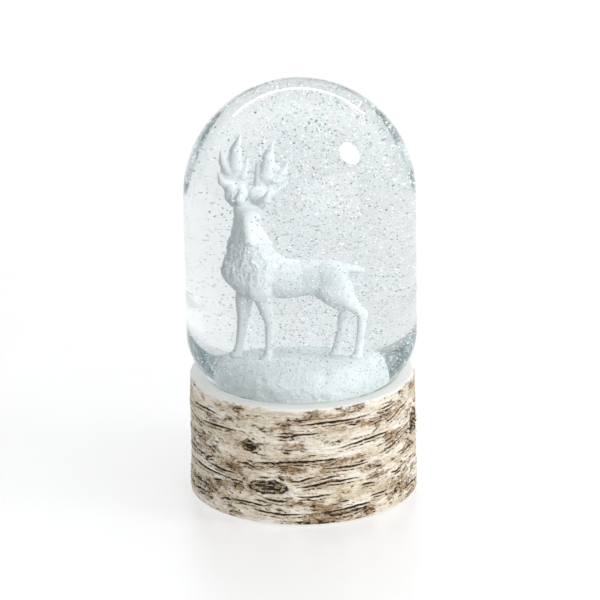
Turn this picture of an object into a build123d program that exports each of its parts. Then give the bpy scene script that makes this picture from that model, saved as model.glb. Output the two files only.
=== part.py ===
from build123d import *
import math
import os

# Water-filled snow globe: a capsule-shaped blown glass with its neck down, a white stag on a
# snow mound inside it, and a hollow cast-resin base with a birch-bark surface.
# Millimetres, +Z up, origin at the centre of the underside, front of the base towards -Y.

# Driving dimensions
glass_radius = 50.0
glass_wall = 3.0
overall_height = 184.3
shoulder_radius = 25.0
neck_radius = 32.0
neck_end_z = 38.0
base_top_z = 53.9
base_top_radius = 48.6
base_foot_radius = 49.4
pad_thickness = 1.3
pad_proud = 0.8
clearance = 0.3

# Glass levels worked out from the driving dimensions
dome_z = overall_height - glass_radius
shoulder_reach = glass_radius - shoulder_radius
seat_radius = 41.85
shoulder_z = base_top_z + math.sqrt(shoulder_radius**2 - (seat_radius - shoulder_reach)**2)
neck_bore = neck_radius - glass_wall

# Stopper, plug and mound
flange_thickness = 3.5
stopper_top_z = 52.0
stopper_radius = neck_bore - 0.4
rib_reach = 0.4
fill_hole_radius = 3.0
mound_radius = 28.0
mound_edge_z = 62.0
mound_top_z = 64.6
crust_thickness = 0.5

# Seal and bond
sealant_width = 1.6
sealant_below = 1.0
sealant_above = 3.0
bond_gap = 0.2
bond_height = 6.5

# Base casting
deck_thickness = 9.9
collar_inner = 35.0
collar_outer = 38.5
collar_end_z = 35.0
cavity_radius = 40.5
cover_radius = 43.0
cover_thickness = 2.5
cover_play = 0.2
rim_fillet = 1.2

# Stag: it stands along X with its chest to -X and its head turned to -Y
hoof_z = mound_top_z - 0.9
leg_spread = 3.2
head_x = -16.8
antler_splay = 2.2
antler_root_z = 131.5

UPRIGHT = (Align.CENTER, Align.CENTER, Align.MIN)


def surface_z(radius, centre_r, centre_z, arc_radius):
    """Height of the lower half of an arc at a given radius."""
    return centre_z - math.sqrt(arc_radius**2 - (radius - centre_r)**2)


def arc_point(centre_r, centre_z, radius, degrees):
    """Point on an arc in the revolve plane, measured from +R towards +Z."""
    turn = math.radians(degrees)
    return (centre_r + radius * math.cos(turn), centre_z + radius * math.sin(turn))


def revolved(edges):
    """Solid of revolution about Z from a closed outline in the XZ plane."""
    with BuildPart() as turned:
        with BuildSketch(Plane.XZ):
            with BuildLine():
                for edge in edges:
                    add(edge)
            make_face()
        revolve(axis=Axis.Z)
    return turned.part


def capsule_outline(inset):
    """Edges of the globe's wall, a distance inside its outer face, from the neck up to the axis."""
    radius = glass_radius - inset
    bend = shoulder_radius - inset
    neck = neck_radius - inset
    neck_top = surface_z(neck, shoulder_reach, shoulder_z, bend)
    start = math.degrees(math.atan2(neck_top - shoulder_z, neck - shoulder_reach))
    lower = ThreePointArc(
        (neck, neck_top),
        arc_point(shoulder_reach, shoulder_z, bend, start / 2),
        (radius, shoulder_z),
    )
    side = Line((radius, shoulder_z), (radius, dome_z))
    dome = ThreePointArc((radius, dome_z), arc_point(0, dome_z, radius, 45), (0, dome_z + radius))
    return [Line((neck, neck_end_z), (neck, neck_top)), lower, side, dome]


def make_glass():
    """Blown glass, one wall thickness all over, with a short ground neck."""
    outside = capsule_outline(0)
    inside = capsule_outline(glass_wall)
    top = Line((0, overall_height - glass_wall), (0, overall_height))
    foot = Line((neck_bore, neck_end_z), (neck_radius, neck_end_z))
    return revolved(outside + inside + [top, foot])


def make_stopper():
    """Moulded rubber stopper with a flange under the neck, two sealing ribs and a fill hole."""
    plug_height = stopper_top_z - neck_end_z
    flange = Cylinder(neck_radius, flange_thickness, align=UPRIGHT)
    flange = Pos(0, 0, neck_end_z - flange_thickness) * flange
    plug = Pos(0, 0, neck_end_z) * Cylinder(stopper_radius, plug_height, align=UPRIGHT)
    stopper = flange + plug
    for share in (0.3, 0.65):
        rib = Cylinder(stopper_radius + rib_reach, 1.6)
        stopper += Pos(0, 0, neck_end_z + share * plug_height) * rib
    return stopper - Pos(0, 0, neck_end_z) * Cylinder(fill_hole_radius, 60)


def make_fill_plug():
    """Small rubber plug that closes the fill hole from below, with a flat head."""
    shank_length = 13.0
    head_thickness = 1.8
    foot_z = neck_end_z - flange_thickness
    shank = Pos(0, 0, foot_z) * Cylinder(fill_hole_radius, shank_length, align=UPRIGHT)
    head = Cylinder(fill_hole_radius + 2.5, head_thickness, align=UPRIGHT)
    head = fillet(head.edges().group_by(Axis.Z)[0], 0.6)
    return shank + Pos(0, 0, foot_z - head_thickness) * head


def mound_top(lift):
    """Edges of the mound's side and its spherical crown, raised by a lift."""
    rise = mound_top_z - mound_edge_z
    crown_radius = (mound_radius**2 + rise**2) / (2 * rise)
    half_way = mound_radius / 2
    half_way_z = mound_top_z - crown_radius + math.sqrt(crown_radius**2 - half_way**2)
    side = Line((mound_radius, stopper_top_z), (mound_radius, mound_edge_z + lift))
    edge = (mound_radius, mound_edge_z + lift)
    crown = ThreePointArc(edge, (half_way, half_way_z + lift), (0, mound_top_z + lift))
    return side, crown


def make_mound():
    """Cast snow mound on the stopper, with a channel under it from the fill hole to its rim."""
    side, crown = mound_top(0)
    axis_side = Line((0, mound_top_z), (0, stopper_top_z))
    foot = Line((0, stopper_top_z), (mound_radius, stopper_top_z))
    solid = revolved([side, crown, axis_side, foot])
    channel_length = mound_radius + 2
    channel = Pos(0, channel_length / 2, 0) * Box(2 * fill_hole_radius, channel_length, 3, align=UPRIGHT)
    return solid - Pos(0, 0, stopper_top_z) * channel


def make_settled_flakes(glass, stopper):
    """Flakes that have come to rest: a crust on the mound, and a ring in the trough round it."""
    crown = mound_top(0)[1]
    raised = mound_top(crust_thickness)[1]
    axis_side = Line((0, mound_top_z), (0, mound_top_z + crust_thickness))
    rim = Line((mound_radius, mound_edge_z), (mound_radius, mound_edge_z + crust_thickness))
    crust = revolved([crown, raised, axis_side, rim])
    trough_depth = 2.4
    ring = Pos(0, 0, stopper_top_z) * Cylinder(mound_radius + 10, trough_depth, align=UPRIGHT)
    ring -= Cylinder(mound_radius, 400)
    return crust, ring - glass - stopper


def limb(points, radii):
    """Tapered round limb through points, with a slightly fuller ball at each bend."""
    ball_swell = 1.05
    shape = None
    for start, end, first, last in zip(points, points[1:], radii, radii[1:]):
        run = Vector(*end) - Vector(*start)
        plane = Plane(origin=start, z_dir=run)
        piece = plane * Cone(first, last, run.length, align=UPRIGHT)
        shape = piece if shape is None else shape + piece
    for point, radius in zip(points[1:-1], radii[1:-1]):
        shape += Pos(*point) * Sphere(radius * ball_swell)
    return shape


def ellipse_loft(stations, plane_at):
    """Loft through ellipses; each station is a place along the loft, a centre and two half-axes."""
    sections = []
    for place, centre, half_width, half_height in stations:
        plane = plane_at(place, centre)
        sections.append(plane * Ellipse(half_width, half_height))
    return loft(sections)


def make_torso():
    """Chest, belly and rump as one loft along the back."""
    stations = [
        (-22.5, 105.0, 3.5, 6.0),
        (-19.0, 103.5, 6.8, 10.5),
        (-13.0, 101.6, 8.4, 10.6),
        (-4.0, 100.4, 8.2, 8.9),
        (4.0, 100.1, 7.6, 7.9),
        (9.5, 100.5, 7.2, 7.6),
        (13.5, 101.0, 4.0, 4.4),
    ]

    def across(x, z):
        return Plane(origin=(x, 0, z), x_dir=(0, 1, 0), z_dir=(1, 0, 0))

    return ellipse_loft(stations, across)


def make_neck():
    """Upright neck with the thick winter ruff at its foot."""
    stations = [
        (104.0, -15.8, 7.4, 6.8),
        (112.0, -16.2, 6.9, 6.4),
        (119.0, head_x, 5.0, 5.2),
        (127.0, head_x, 3.8, 3.8),
    ]

    def level(z, x):
        return Plane(origin=(x, 0, z))

    return ellipse_loft(stations, level)


def make_head():
    """Head turned to face -Y, from the back of the skull down to the muzzle."""
    points = [
        (head_x, 1.5, 129.0),
        (head_x, -3.0, 127.5),
        (head_x - 0.4, -8.5, 122.5),
        (head_x - 0.7, -12.0, 119.8),
    ]
    radii = [3.6, 4.4, 3.0, 2.1]
    head = limb(points, radii)
    head += Pos(*points[0]) * Sphere(radii[0])
    head += Pos(*points[-1]) * Sphere(radii[-1])
    for side in (-1, 1):
        root = (head_x + 2.6 * side, 0.5, 130.0)
        middle = (head_x + 5.0 * side, 1.0, 131.6)
        tip = (head_x + 7.4 * side, 1.5, 132.4)
        head += limb([root, middle, tip], [1.0, 1.5, 0.35])
    return head


def make_legs():
    """Four legs, each a loft through level rings from the body down to the hoof."""
    far_fore = [
        (97.0, -16.5, 4.2),
        (90.0, -17.4, 2.6),
        (80.6, -18.2, 1.8),
        (70.0, -19.3, 1.4),
        (hoof_z, -20.3, 2.0),
    ]
    near_fore = [
        (97.0, -12.0, 4.2),
        (90.0, -11.2, 2.6),
        (81.5, -10.3, 1.8),
        (70.0, -10.6, 1.4),
        (hoof_z, -11.4, 2.0),
    ]
    far_hind = [
        (99.0, 7.5, 5.0),
        (91.0, 9.6, 3.6),
        (84.6, 13.6, 2.2),
        (70.0, 11.8, 1.4),
        (hoof_z, 10.6, 2.0),
    ]
    near_hind = [
        (99.0, 8.5, 5.0),
        (91.0, 13.4, 3.6),
        (83.4, 18.6, 2.2),
        (70.0, 18.2, 1.4),
        (hoof_z, 17.4, 2.0),
    ]
    legs = []
    for rings, side in ((far_fore, 1), (near_fore, -1), (far_hind, 1), (near_hind, -1)):
        circles = [Pos(x, side * leg_spread, z) * Circle(radius) for z, x, radius in rings]
        legs.append(loft(circles))
    return legs


def make_deer():
    """Cast stag without its antlers, cut to sit on the mound."""
    deer = make_torso() + make_neck()
    deer += Pos(-10.5, 0, 106.5) * Sphere(6.2)
    deer += make_head()
    for leg in make_legs():
        deer += leg
    tail = limb([(11.5, 0, 104.5), (16.0, 0, 104.0), (21.0, 0, 102.5)], [2.6, 2.1, 0.7])
    return deer + tail


def antler_peg(side):
    """Peg under an antler, which sits in a socket in the head."""
    peg = Cylinder(0.9, 4.4, align=UPRIGHT)
    return Pos(head_x + antler_splay * side, -0.8, antler_root_z - 3.2) * peg


def make_antler(side):
    """Antler cast on its own: a swept beam with upright tines, on a peg."""

    def at(out, y, z):
        return (head_x + out * side, y, z)

    root = at(antler_splay, -0.8, antler_root_z + 0.8)
    low = at(6.0, 0.2, 135.0)
    bend = at(8.6, 1.0, 141.0)
    high = at(7.2, 0.8, 147.0)
    tip = at(5.0, 0.4, 154.5)
    antler = limb([root, low, bend, high, tip], [1.2, 1.5, 1.4, 1.2, 0.4])
    tines = [
        (low, at(4.0, -1.6, 139.5)),
        (bend, at(11.8, 1.2, 144.5)),
        (high, at(9.8, 1.0, 150.5)),
        (bend, at(4.6, 0.4, 146.5)),
    ]
    for start, end in tines:
        antler += limb([start, end], [1.1, 0.4])
    return antler + antler_peg(side)


def make_leg_pins():
    """Four steel wires that run from the legs down into the mound."""
    wire_radius = 0.6
    pins = []
    for x, side in ((-20.3, 1), (-11.4, -1), (10.6, 1), (17.4, -1)):
        wire = Cylinder(wire_radius, 9.0)
        pins.append(Pos(x, side * leg_spread, hoof_z - 2.2) * wire)
    return pins


def make_flakes():
    """Flat flakes hanging in the liquid, spread evenly in the ring round the figure."""
    count = 72
    golden_turn = 137.508
    flakes = []
    for number in range(count):
        share = (number + 0.5) / count
        radius = 29.0 + 13.0 * ((number * 0.618) % 1.0)
        height = 78.0 + 78.0 * share
        place = Rot(0, 0, number * golden_turn) * Pos(radius, 0, height)
        tilt = Rot(37 * number % 180, 61 * number % 180, 0)
        with BuildPart() as flake:
            with BuildSketch():
                RegularPolygon(0.9, 6)
            extrude(amount=0.2)
        flakes.append(place * tilt * flake.part)
    return flakes


def make_liquid(contents):
    """Water and glycol that fill the glass from the stopper up, round the contents."""
    inside = capsule_outline(glass_wall)
    axis_side = Line((0, neck_end_z), (0, overall_height - glass_wall))
    foot = Line((0, neck_end_z), (neck_bore, neck_end_z))
    liquid = revolved(inside + [axis_side, foot])
    for piece in contents:
        liquid -= piece
    solids = liquid.solids().sort_by(lambda solid: solid.volume)
    return solids[-1]


def make_base():
    """Hollow resin casting: bark outside, a seat for the shoulder and a collar round the neck."""
    seat_bend = shoulder_radius + clearance
    seat_edge = shoulder_reach + math.sqrt(seat_bend**2 - (shoulder_z - base_top_z)**2)
    seat_foot_z = surface_z(collar_inner, shoulder_reach, shoulder_z, seat_bend)
    middle_turn = (
        math.degrees(math.atan2(base_top_z - shoulder_z, seat_edge - shoulder_reach))
        + math.degrees(math.atan2(seat_foot_z - shoulder_z, collar_inner - shoulder_reach))
    ) / 2
    seat_middle = arc_point(shoulder_reach, shoulder_z, seat_bend, middle_turn)
    deck_z = base_top_z - deck_thickness
    rebate_z = pad_proud + cover_thickness
    outline = [
        (seat_edge, base_top_z),
        (base_top_radius, base_top_z),
        (base_foot_radius, pad_proud),
        (cover_radius, pad_proud),
        (cover_radius, rebate_z),
        (cavity_radius, rebate_z),
        (cavity_radius, deck_z),
        (collar_outer, deck_z),
        (collar_outer, collar_end_z),
        (collar_inner, collar_end_z),
        (collar_inner, seat_foot_z),
    ]
    seat = ThreePointArc((seat_edge, base_top_z), seat_middle, (collar_inner, seat_foot_z))
    lines = [Line(start, end) for start, end in zip(outline, outline[1:])]
    base = revolved(lines + [seat])
    rounded = []
    for radius in (base_top_radius, base_foot_radius):
        length = 2 * math.pi * radius
        rounded += [edge for edge in base.edges() if abs(edge.length - length) < 0.5]
    return fillet(rounded, rim_fillet)


def make_bottom():
    """Hardboard disc glued into the rebate, and the felt pad that the globe stands on."""
    cover = Cylinder(cover_radius - cover_play, cover_thickness, align=UPRIGHT)
    pad = Cylinder(cover_radius - 1.5, pad_thickness, align=UPRIGHT)
    return Pos(0, 0, pad_proud) * cover - pad, pad


def make_bonds():
    """Sealing compound round the stopper's flange, and the adhesive between neck and collar."""
    flange_z = neck_end_z - flange_thickness
    sealant_z = flange_z - sealant_below
    sealant_height = sealant_below + flange_thickness + sealant_above
    sealant = Cylinder(neck_radius + sealant_width, sealant_height, align=UPRIGHT)
    sealant = Pos(0, 0, sealant_z) * sealant
    sealant -= Pos(0, 0, flange_z) * Cylinder(neck_radius, 20, align=UPRIGHT)
    sealant -= Cylinder(neck_radius - 6.0, 200)
    bond_z = sealant_z + sealant_height + bond_gap
    bond = Pos(0, 0, bond_z) * Cylinder(collar_inner, bond_height, align=UPRIGHT)
    return sealant, bond - Cylinder(neck_radius, 200)


def save(name, shapes):
    """Write one sub-part, which may be a group of separate solids."""
    if len(shapes) == 1:
        export_step(shapes[0], f"parts/{name}.step")
    else:
        export_step(Compound(children=[shape.solid() for shape in shapes]), f"parts/{name}.step")


os.makedirs("parts", exist_ok=True)

glass = make_glass()
stopper = make_stopper()
fill_plug = make_fill_plug()
pins = make_leg_pins()
antlers = {"antler_left": make_antler(-1), "antler_right": make_antler(1)}
deer = make_deer()
for antler in antlers.values():
    deer -= antler
mound = make_mound()
crust, trough_ring = make_settled_flakes(glass, stopper)
for pin in pins:
    deer -= pin
    mound -= pin
    crust -= pin
mound -= deer
crust -= deer
flakes = make_flakes()
contents = [stopper, fill_plug, mound, crust, trough_ring, deer, *antlers.values(), *pins, *flakes]
sealant, bond = make_bonds()
cover, pad = make_bottom()

save("glass_globe", [glass])
save("liquid_fill", [make_liquid(contents)])
save("floating_flakes", flakes)
save("settled_flakes", [crust, trough_ring])
save("deer_body", [deer])
for name, antler in antlers.items():
    save(name, [antler])
save("leg_pins", pins)
save("snow_mound", [mound])
save("rubber_stopper", [stopper])
save("fill_plug", [fill_plug])
save("stopper_sealant", [sealant])
save("neck_adhesive", [bond])
save("base_shell", [make_base()])
save("bottom_cover", [cover])
save("felt_pad", [pad])
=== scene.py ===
import math
import random

import bpy
import numpy as np
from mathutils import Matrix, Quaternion, Vector, noise


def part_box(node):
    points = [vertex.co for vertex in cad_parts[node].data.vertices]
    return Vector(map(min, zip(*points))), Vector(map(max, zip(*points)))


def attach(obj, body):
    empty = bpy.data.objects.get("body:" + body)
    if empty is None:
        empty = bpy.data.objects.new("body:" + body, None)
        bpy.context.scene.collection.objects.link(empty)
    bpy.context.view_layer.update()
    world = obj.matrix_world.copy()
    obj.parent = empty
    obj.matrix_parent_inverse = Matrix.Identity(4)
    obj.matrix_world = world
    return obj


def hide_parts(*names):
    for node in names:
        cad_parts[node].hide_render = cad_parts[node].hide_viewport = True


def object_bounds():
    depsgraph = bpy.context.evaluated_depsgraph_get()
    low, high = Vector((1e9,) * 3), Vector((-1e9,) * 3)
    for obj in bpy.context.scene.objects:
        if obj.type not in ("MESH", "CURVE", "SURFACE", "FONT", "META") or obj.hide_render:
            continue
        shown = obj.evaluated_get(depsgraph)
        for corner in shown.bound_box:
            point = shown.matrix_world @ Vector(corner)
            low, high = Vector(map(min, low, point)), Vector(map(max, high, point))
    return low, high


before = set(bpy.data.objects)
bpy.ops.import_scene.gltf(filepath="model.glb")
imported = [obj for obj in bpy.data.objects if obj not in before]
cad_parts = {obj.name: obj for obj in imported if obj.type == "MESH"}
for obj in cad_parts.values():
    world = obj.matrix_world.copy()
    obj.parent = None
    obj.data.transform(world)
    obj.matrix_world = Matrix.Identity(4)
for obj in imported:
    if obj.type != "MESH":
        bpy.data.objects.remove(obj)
cad_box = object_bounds()

# ---------------------------------------------------------------------------------------------
# Camera: a long lens a little above the globe, with a slight lean of the picture.
mm = 0.001
overall_height = cad_box[1][2]
aim = Vector((0, 0, 0.4614 * overall_height))
camera_elevation = math.radians(19.8)
camera_distance = 1.9
picture_lean = math.radians(0.9)

camera_data = bpy.data.cameras.new("camera")
camera_data.lens = 263.5
camera_data.sensor_width = 36
camera_data.shift_x = -0.0022
camera_data.shift_y = 0.0025
camera = bpy.data.objects.new("camera", camera_data)
bpy.context.scene.collection.objects.link(camera)
back = Vector((0, -math.cos(camera_elevation), math.sin(camera_elevation)))
camera.location = aim + back * camera_distance
camera.rotation_mode = "QUATERNION"
look = (-back).to_track_quat("-Z", "Y")
camera.rotation_quaternion = look @ Quaternion((0, 0, 1), -picture_lean)
bpy.context.scene.camera = camera
bpy.context.scene.view_settings.view_transform = "Standard"

# Light runs round inside the thick wall before it leaves, so its paths are kept long; where they
# are cut short, the shoulders and the bend above the base turn dark.
bpy.context.scene.cycles.max_bounces = 128
bpy.context.scene.cycles.transmission_bounces = 128
bpy.context.scene.cycles.glossy_bounces = 64
bpy.context.scene.cycles.transparent_max_bounces = 128

# ---------------------------------------------------------------------------------------------
# Studio: a lit opal acrylic floor under soft light from all round, one round softbox at the right,
# a wide dim panel to the front right, and a strip light high behind, which the dome shows as a
# bright arc.


def deselect():
    bpy.ops.object.select_all(action="DESELECT")


def colour(code):
    """Linear colour from an sRGB hex code."""
    channels = [int(code[place:place + 2], 16) / 255 for place in (1, 3, 5)]
    linear = [c / 12.92 if c <= 0.04045 else ((c + 0.055) / 1.055) ** 2.4 for c in channels]
    return (*linear, 1.0)


def new_material(name):
    material = bpy.data.materials.new(name)
    material.use_nodes = True
    material.node_tree.nodes.clear()
    return material


def add(material, kind, settings=None, links=None):
    """Add a node; settings name its sockets or attributes, links name sockets and their sources."""
    node = material.node_tree.nodes.new(kind)
    for name, value in (settings or {}).items():
        if isinstance(name, int) or name in node.inputs.keys():
            node.inputs[name].default_value = value
        else:
            setattr(node, name, value)
    for name, source in (links or {}).items():
        material.node_tree.links.new(source, node.inputs[name])
    return node


def multiply(material, first, second):
    """Product of two value sockets."""
    return add(material, "ShaderNodeMath", {"operation": "MULTIPLY"}, {0: first, 1: second})


world = bpy.data.worlds.new("studio")
world.use_nodes = True
world.node_tree.nodes.clear()
# The studio is brighter towards the right, so the left of the object falls into soft shade.
way = add(world, "ShaderNodeTexCoord")
side_light = add(world, "ShaderNodeVectorMath", {"operation": "DOT_PRODUCT", 1: (0.30, -0.03, 0.03)},
                 {0: way.outputs["Generated"]})
sky_level = add(world, "ShaderNodeMath", {"operation": "ADD", 1: 0.77}, {0: side_light.outputs["Value"]})
sky = add(world, "ShaderNodeBackground", {"Color": colour("#FDFEFF")}, {"Strength": sky_level.outputs[0]})
add(world, "ShaderNodeOutputWorld", links={"Surface": sky.outputs[0]})
bpy.context.scene.world = world

deselect()
bpy.ops.mesh.primitive_plane_add(size=8, location=(0, 0, 0))
floor = bpy.context.object
floor.name = "floor"
acrylic = new_material("opal_acrylic_sheet_satin")
place = add(acrylic, "ShaderNodeTexCoord")
haze = add(acrylic, "ShaderNodeTexNoise", {"Scale": 40, "Detail": 3}, {"Vector": place.outputs["Object"]})
acrylic_tone = add(acrylic, "ShaderNodeMix",
                   {"data_type": "RGBA", 6: colour("#A8A8A9"), 7: colour("#ACACAC")}, {0: haze.outputs[0]})
acrylic_satin = add(acrylic, "ShaderNodeMapRange", {"To Min": 0.27, "To Max": 0.33},
                    {"Value": haze.outputs[0]})
acrylic_shader = add(acrylic, "ShaderNodeBsdfPrincipled",
                     {"IOR": 1.75, "Emission Color": colour("#FFFFFF"), "Emission Strength": 0.49},
                     {"Base Color": acrylic_tone.outputs[2], "Roughness": acrylic_satin.outputs[0]})
add(acrylic, "ShaderNodeOutputMaterial", links={"Surface": acrylic_shader.outputs[0]})
floor.data.materials.append(acrylic)

dome_radius = 50 * mm
dome_centre = Vector((0, 0, overall_height - dome_radius))


def add_lamp(name, kind, place, size, power, second_size=None):
    lamp_data = bpy.data.lights.new(name, "AREA")
    lamp_data.shape = kind
    lamp_data.size = size
    if second_size:
        lamp_data.size_y = second_size
    lamp_data.energy = power
    lamp = bpy.data.objects.new(name, lamp_data)
    lamp.location = place
    lamp.rotation_mode = "QUATERNION"
    lamp.rotation_quaternion = (dome_centre - place).to_track_quat("-Z", "Y")
    bpy.context.scene.collection.objects.link(lamp)


softbox_way = Vector((0.713, -0.232, 0.661)).normalized()
add_lamp("softbox", "DISK", dome_centre + softbox_way * 1.0, 0.34, 3.0)
add_lamp("front_panel", "RECTANGLE", dome_centre + Vector((1.2, -1.9, 0.40)), 2.6, 18.5, 1.8)
add_lamp("strip_light", "RECTANGLE", Vector((0, 1.2, 1.01)), 2.0, 5.6, 0.09)

# ---------------------------------------------------------------------------------------------
# Base: a hollow casting in filled resin, taken from a slice of birch trunk. The outside is real
# bark relief, painted cream with a brown wash that stays in the cracks; the rim is smooth white.


def turned(name, profile, steps):
    """Wall turned from a profile: a circle is placed, then extruded and resized point by point."""
    deselect()
    radius, height = profile[0]
    bpy.ops.mesh.primitive_circle_add(vertices=steps, radius=radius, location=(0, 0, height))
    piece = bpy.context.object
    piece.name = name
    bpy.ops.object.transform_apply(location=True, rotation=True, scale=True)
    bpy.ops.object.mode_set(mode="EDIT")
    bpy.ops.mesh.select_mode(type="EDGE")
    bpy.ops.mesh.select_all(action="SELECT")
    for next_radius, next_height in profile[1:]:
        bpy.ops.mesh.extrude_edges_move(TRANSFORM_OT_translate={"value": (0, 0, next_height - height)})
        grow = next_radius / radius
        bpy.ops.transform.resize(value=(grow, grow, 1), center_override=(0, 0, next_height))
        radius, height = next_radius, next_height
    bpy.ops.object.mode_set(mode="OBJECT")
    return piece


base_low, base_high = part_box("base_shell")
top_z = base_high[2]
foot_z = base_low[2]
foot_radius = base_high[0]
top_radius = foot_radius - 0.8 * mm

# The glass turns in to its neck on a bend, and the base touches it where the bend meets the rim.
shoulder_bend = 25.0
shoulder_reach = 25.0
seat_radius = 41.85
shoulder_z = top_z / mm + math.sqrt(shoulder_bend ** 2 - (seat_radius - shoulder_reach) ** 2)


def seat_height(radius):
    """Height of the seat in mm, which follows the bend of the glass 0.3 mm outside it."""
    return shoulder_z - math.sqrt((shoulder_bend + 0.3) ** 2 - (radius - shoulder_reach) ** 2)


def base_profile():
    """Outline of the casting, from the seat under the glass over the bark side to the cavity."""
    rows = 160
    rim_inner = (seat_radius + 0.75) * mm
    points = [(35.0 * mm, 35.0 * mm)]
    points += [(radius * mm, seat_height(radius) * mm) for radius in (35.0, 37.0, 39.0, 41.0)]
    points.append((rim_inner, top_z))
    points += [(rim_inner + step * (top_radius - 0.7 * mm - rim_inner) / 6, top_z) for step in range(1, 7)]
    for step in range(rows + 1):
        height = top_z - 0.4 * mm - (top_z - 0.8 * mm - foot_z) * step / rows
        share = (top_z - height) / (top_z - foot_z)
        points.append((top_radius + (foot_radius - top_radius) * share, height))
    points.append((foot_radius - 0.7 * mm, foot_z))
    cavity = [(43.0, 0.8), (43.0, 3.3), (40.5, 3.3), (40.5, 44.0), (38.5, 44.0), (38.5, 35.0)]
    points += [(radius * mm, height * mm) for radius, height in cavity]
    return points


base = turned("base_shell_bark", base_profile(), 520)
bpy.ops.object.mode_set(mode="EDIT")
bpy.ops.mesh.select_all(action="DESELECT")
bpy.ops.mesh.select_non_manifold()
bpy.ops.mesh.bridge_edge_loops()
bpy.ops.mesh.select_all(action="SELECT")
bpy.ops.mesh.normals_make_consistent(inside=False)
bpy.ops.object.mode_set(mode="OBJECT")
bpy.ops.object.shade_smooth_by_angle(angle=math.radians(50))

# Cracks: turn from the front in degrees, then height, half length and depth in mm, and slope.
cracks = [
    (-4, 29.3, 20.0, 1.1, 0.08),
    (15, 47.0, 17.0, 0.9, 0.05),
    (-66, 18.6, 21.0, 1.2, 0.02),
    (-47, 21.5, 10.0, 0.7, 0.03),
    (-50, 40.5, 12.0, 0.8, 0.02),
    (14, 19.6, 13.0, 0.8, 0.06),
    (-2, 42.6, 9.0, 0.5, 0.02),
    (22, 26.0, 11.0, 0.7, 0.05),
    (33, 36.2, 14.0, 0.8, 0.08),
    (57, 43.5, 9.0, 1.0, 0.20),
    (56, 30.5, 13.0, 0.8, 0.16),
    (68, 36.0, 10.0, 1.0, 0.25),
    (72, 27.0, 8.0, 0.8, 0.20),
    (24, 5.2, 10.0, 1.0, 0.12),
    (-14, 6.0, 11.0, 0.7, -0.05),
    (-30, 9.0, 9.0, 0.6, -0.02),
    (-75, 32.0, 10.0, 0.7, 0.0),
    (-72, 12.0, 11.0, 0.6, 0.0),
    (-62, 45.5, 12.0, 0.8, 0.03),
    (5, 14.0, 8.0, 0.5, 0.03),
]

# Knots: turn from the front in degrees, then height, half length, half height and depth in mm.
knots = [(-18.5, 17.6, 9.2, 3.4, 1.3), (-28.5, 35.6, 3.4, 3.2, 1.2), (76, 33.5, 6.0, 6.5, 1.0)]
crack_rng = random.Random(7)
for turn in range(75, 290, 5):
    for _ in range(2):
        height = crack_rng.uniform(4, 49)
        length = crack_rng.uniform(4, 19)
        slope = crack_rng.uniform(-0.08, 0.14)
        cracks.append((turn + crack_rng.uniform(-3, 3), height, length, 0.35 + length * 0.04, slope))
for turn in range(-78, 79, 7):
    height = crack_rng.uniform(3, 50)
    length = crack_rng.uniform(2.5, 9)
    cracks.append((turn, height, length, crack_rng.uniform(0.5, 0.9), crack_rng.uniform(-0.04, 0.16)))
knots += [
    (128, 30, 8.0, 3.6, 1.2),
    (196, 14, 5.0, 4.2, 1.2),
    (236, 37, 9.0, 3.0, 1.1),
    (165, 41, 3.0, 2.6, 0.9),
]

# Short dashes, as birch bark has all over: turn, height, half length and slope.
dashes = []
for _ in range(640):
    turn = crack_rng.uniform(-180, 180)
    height = crack_rng.uniform(1.5, 50.5)
    length = crack_rng.uniform(0.4, 2.0) ** 1.5
    slope = crack_rng.uniform(-0.2, 0.3)
    dashes.append((turn, height, length, slope))


def smooth(low, high, value):
    share = np.clip((value - low) / (high - low), 0, 1)
    return share * share * (3 - 2 * share)


def noise_at(points, scales, depth):
    """Fractal noise at points in mm, stretched by a scale along each axis."""
    scaled = points * np.array(scales)
    return np.array([noise.fractal(Vector(p), 0.8, 2.1, depth) for p in scaled])


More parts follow.
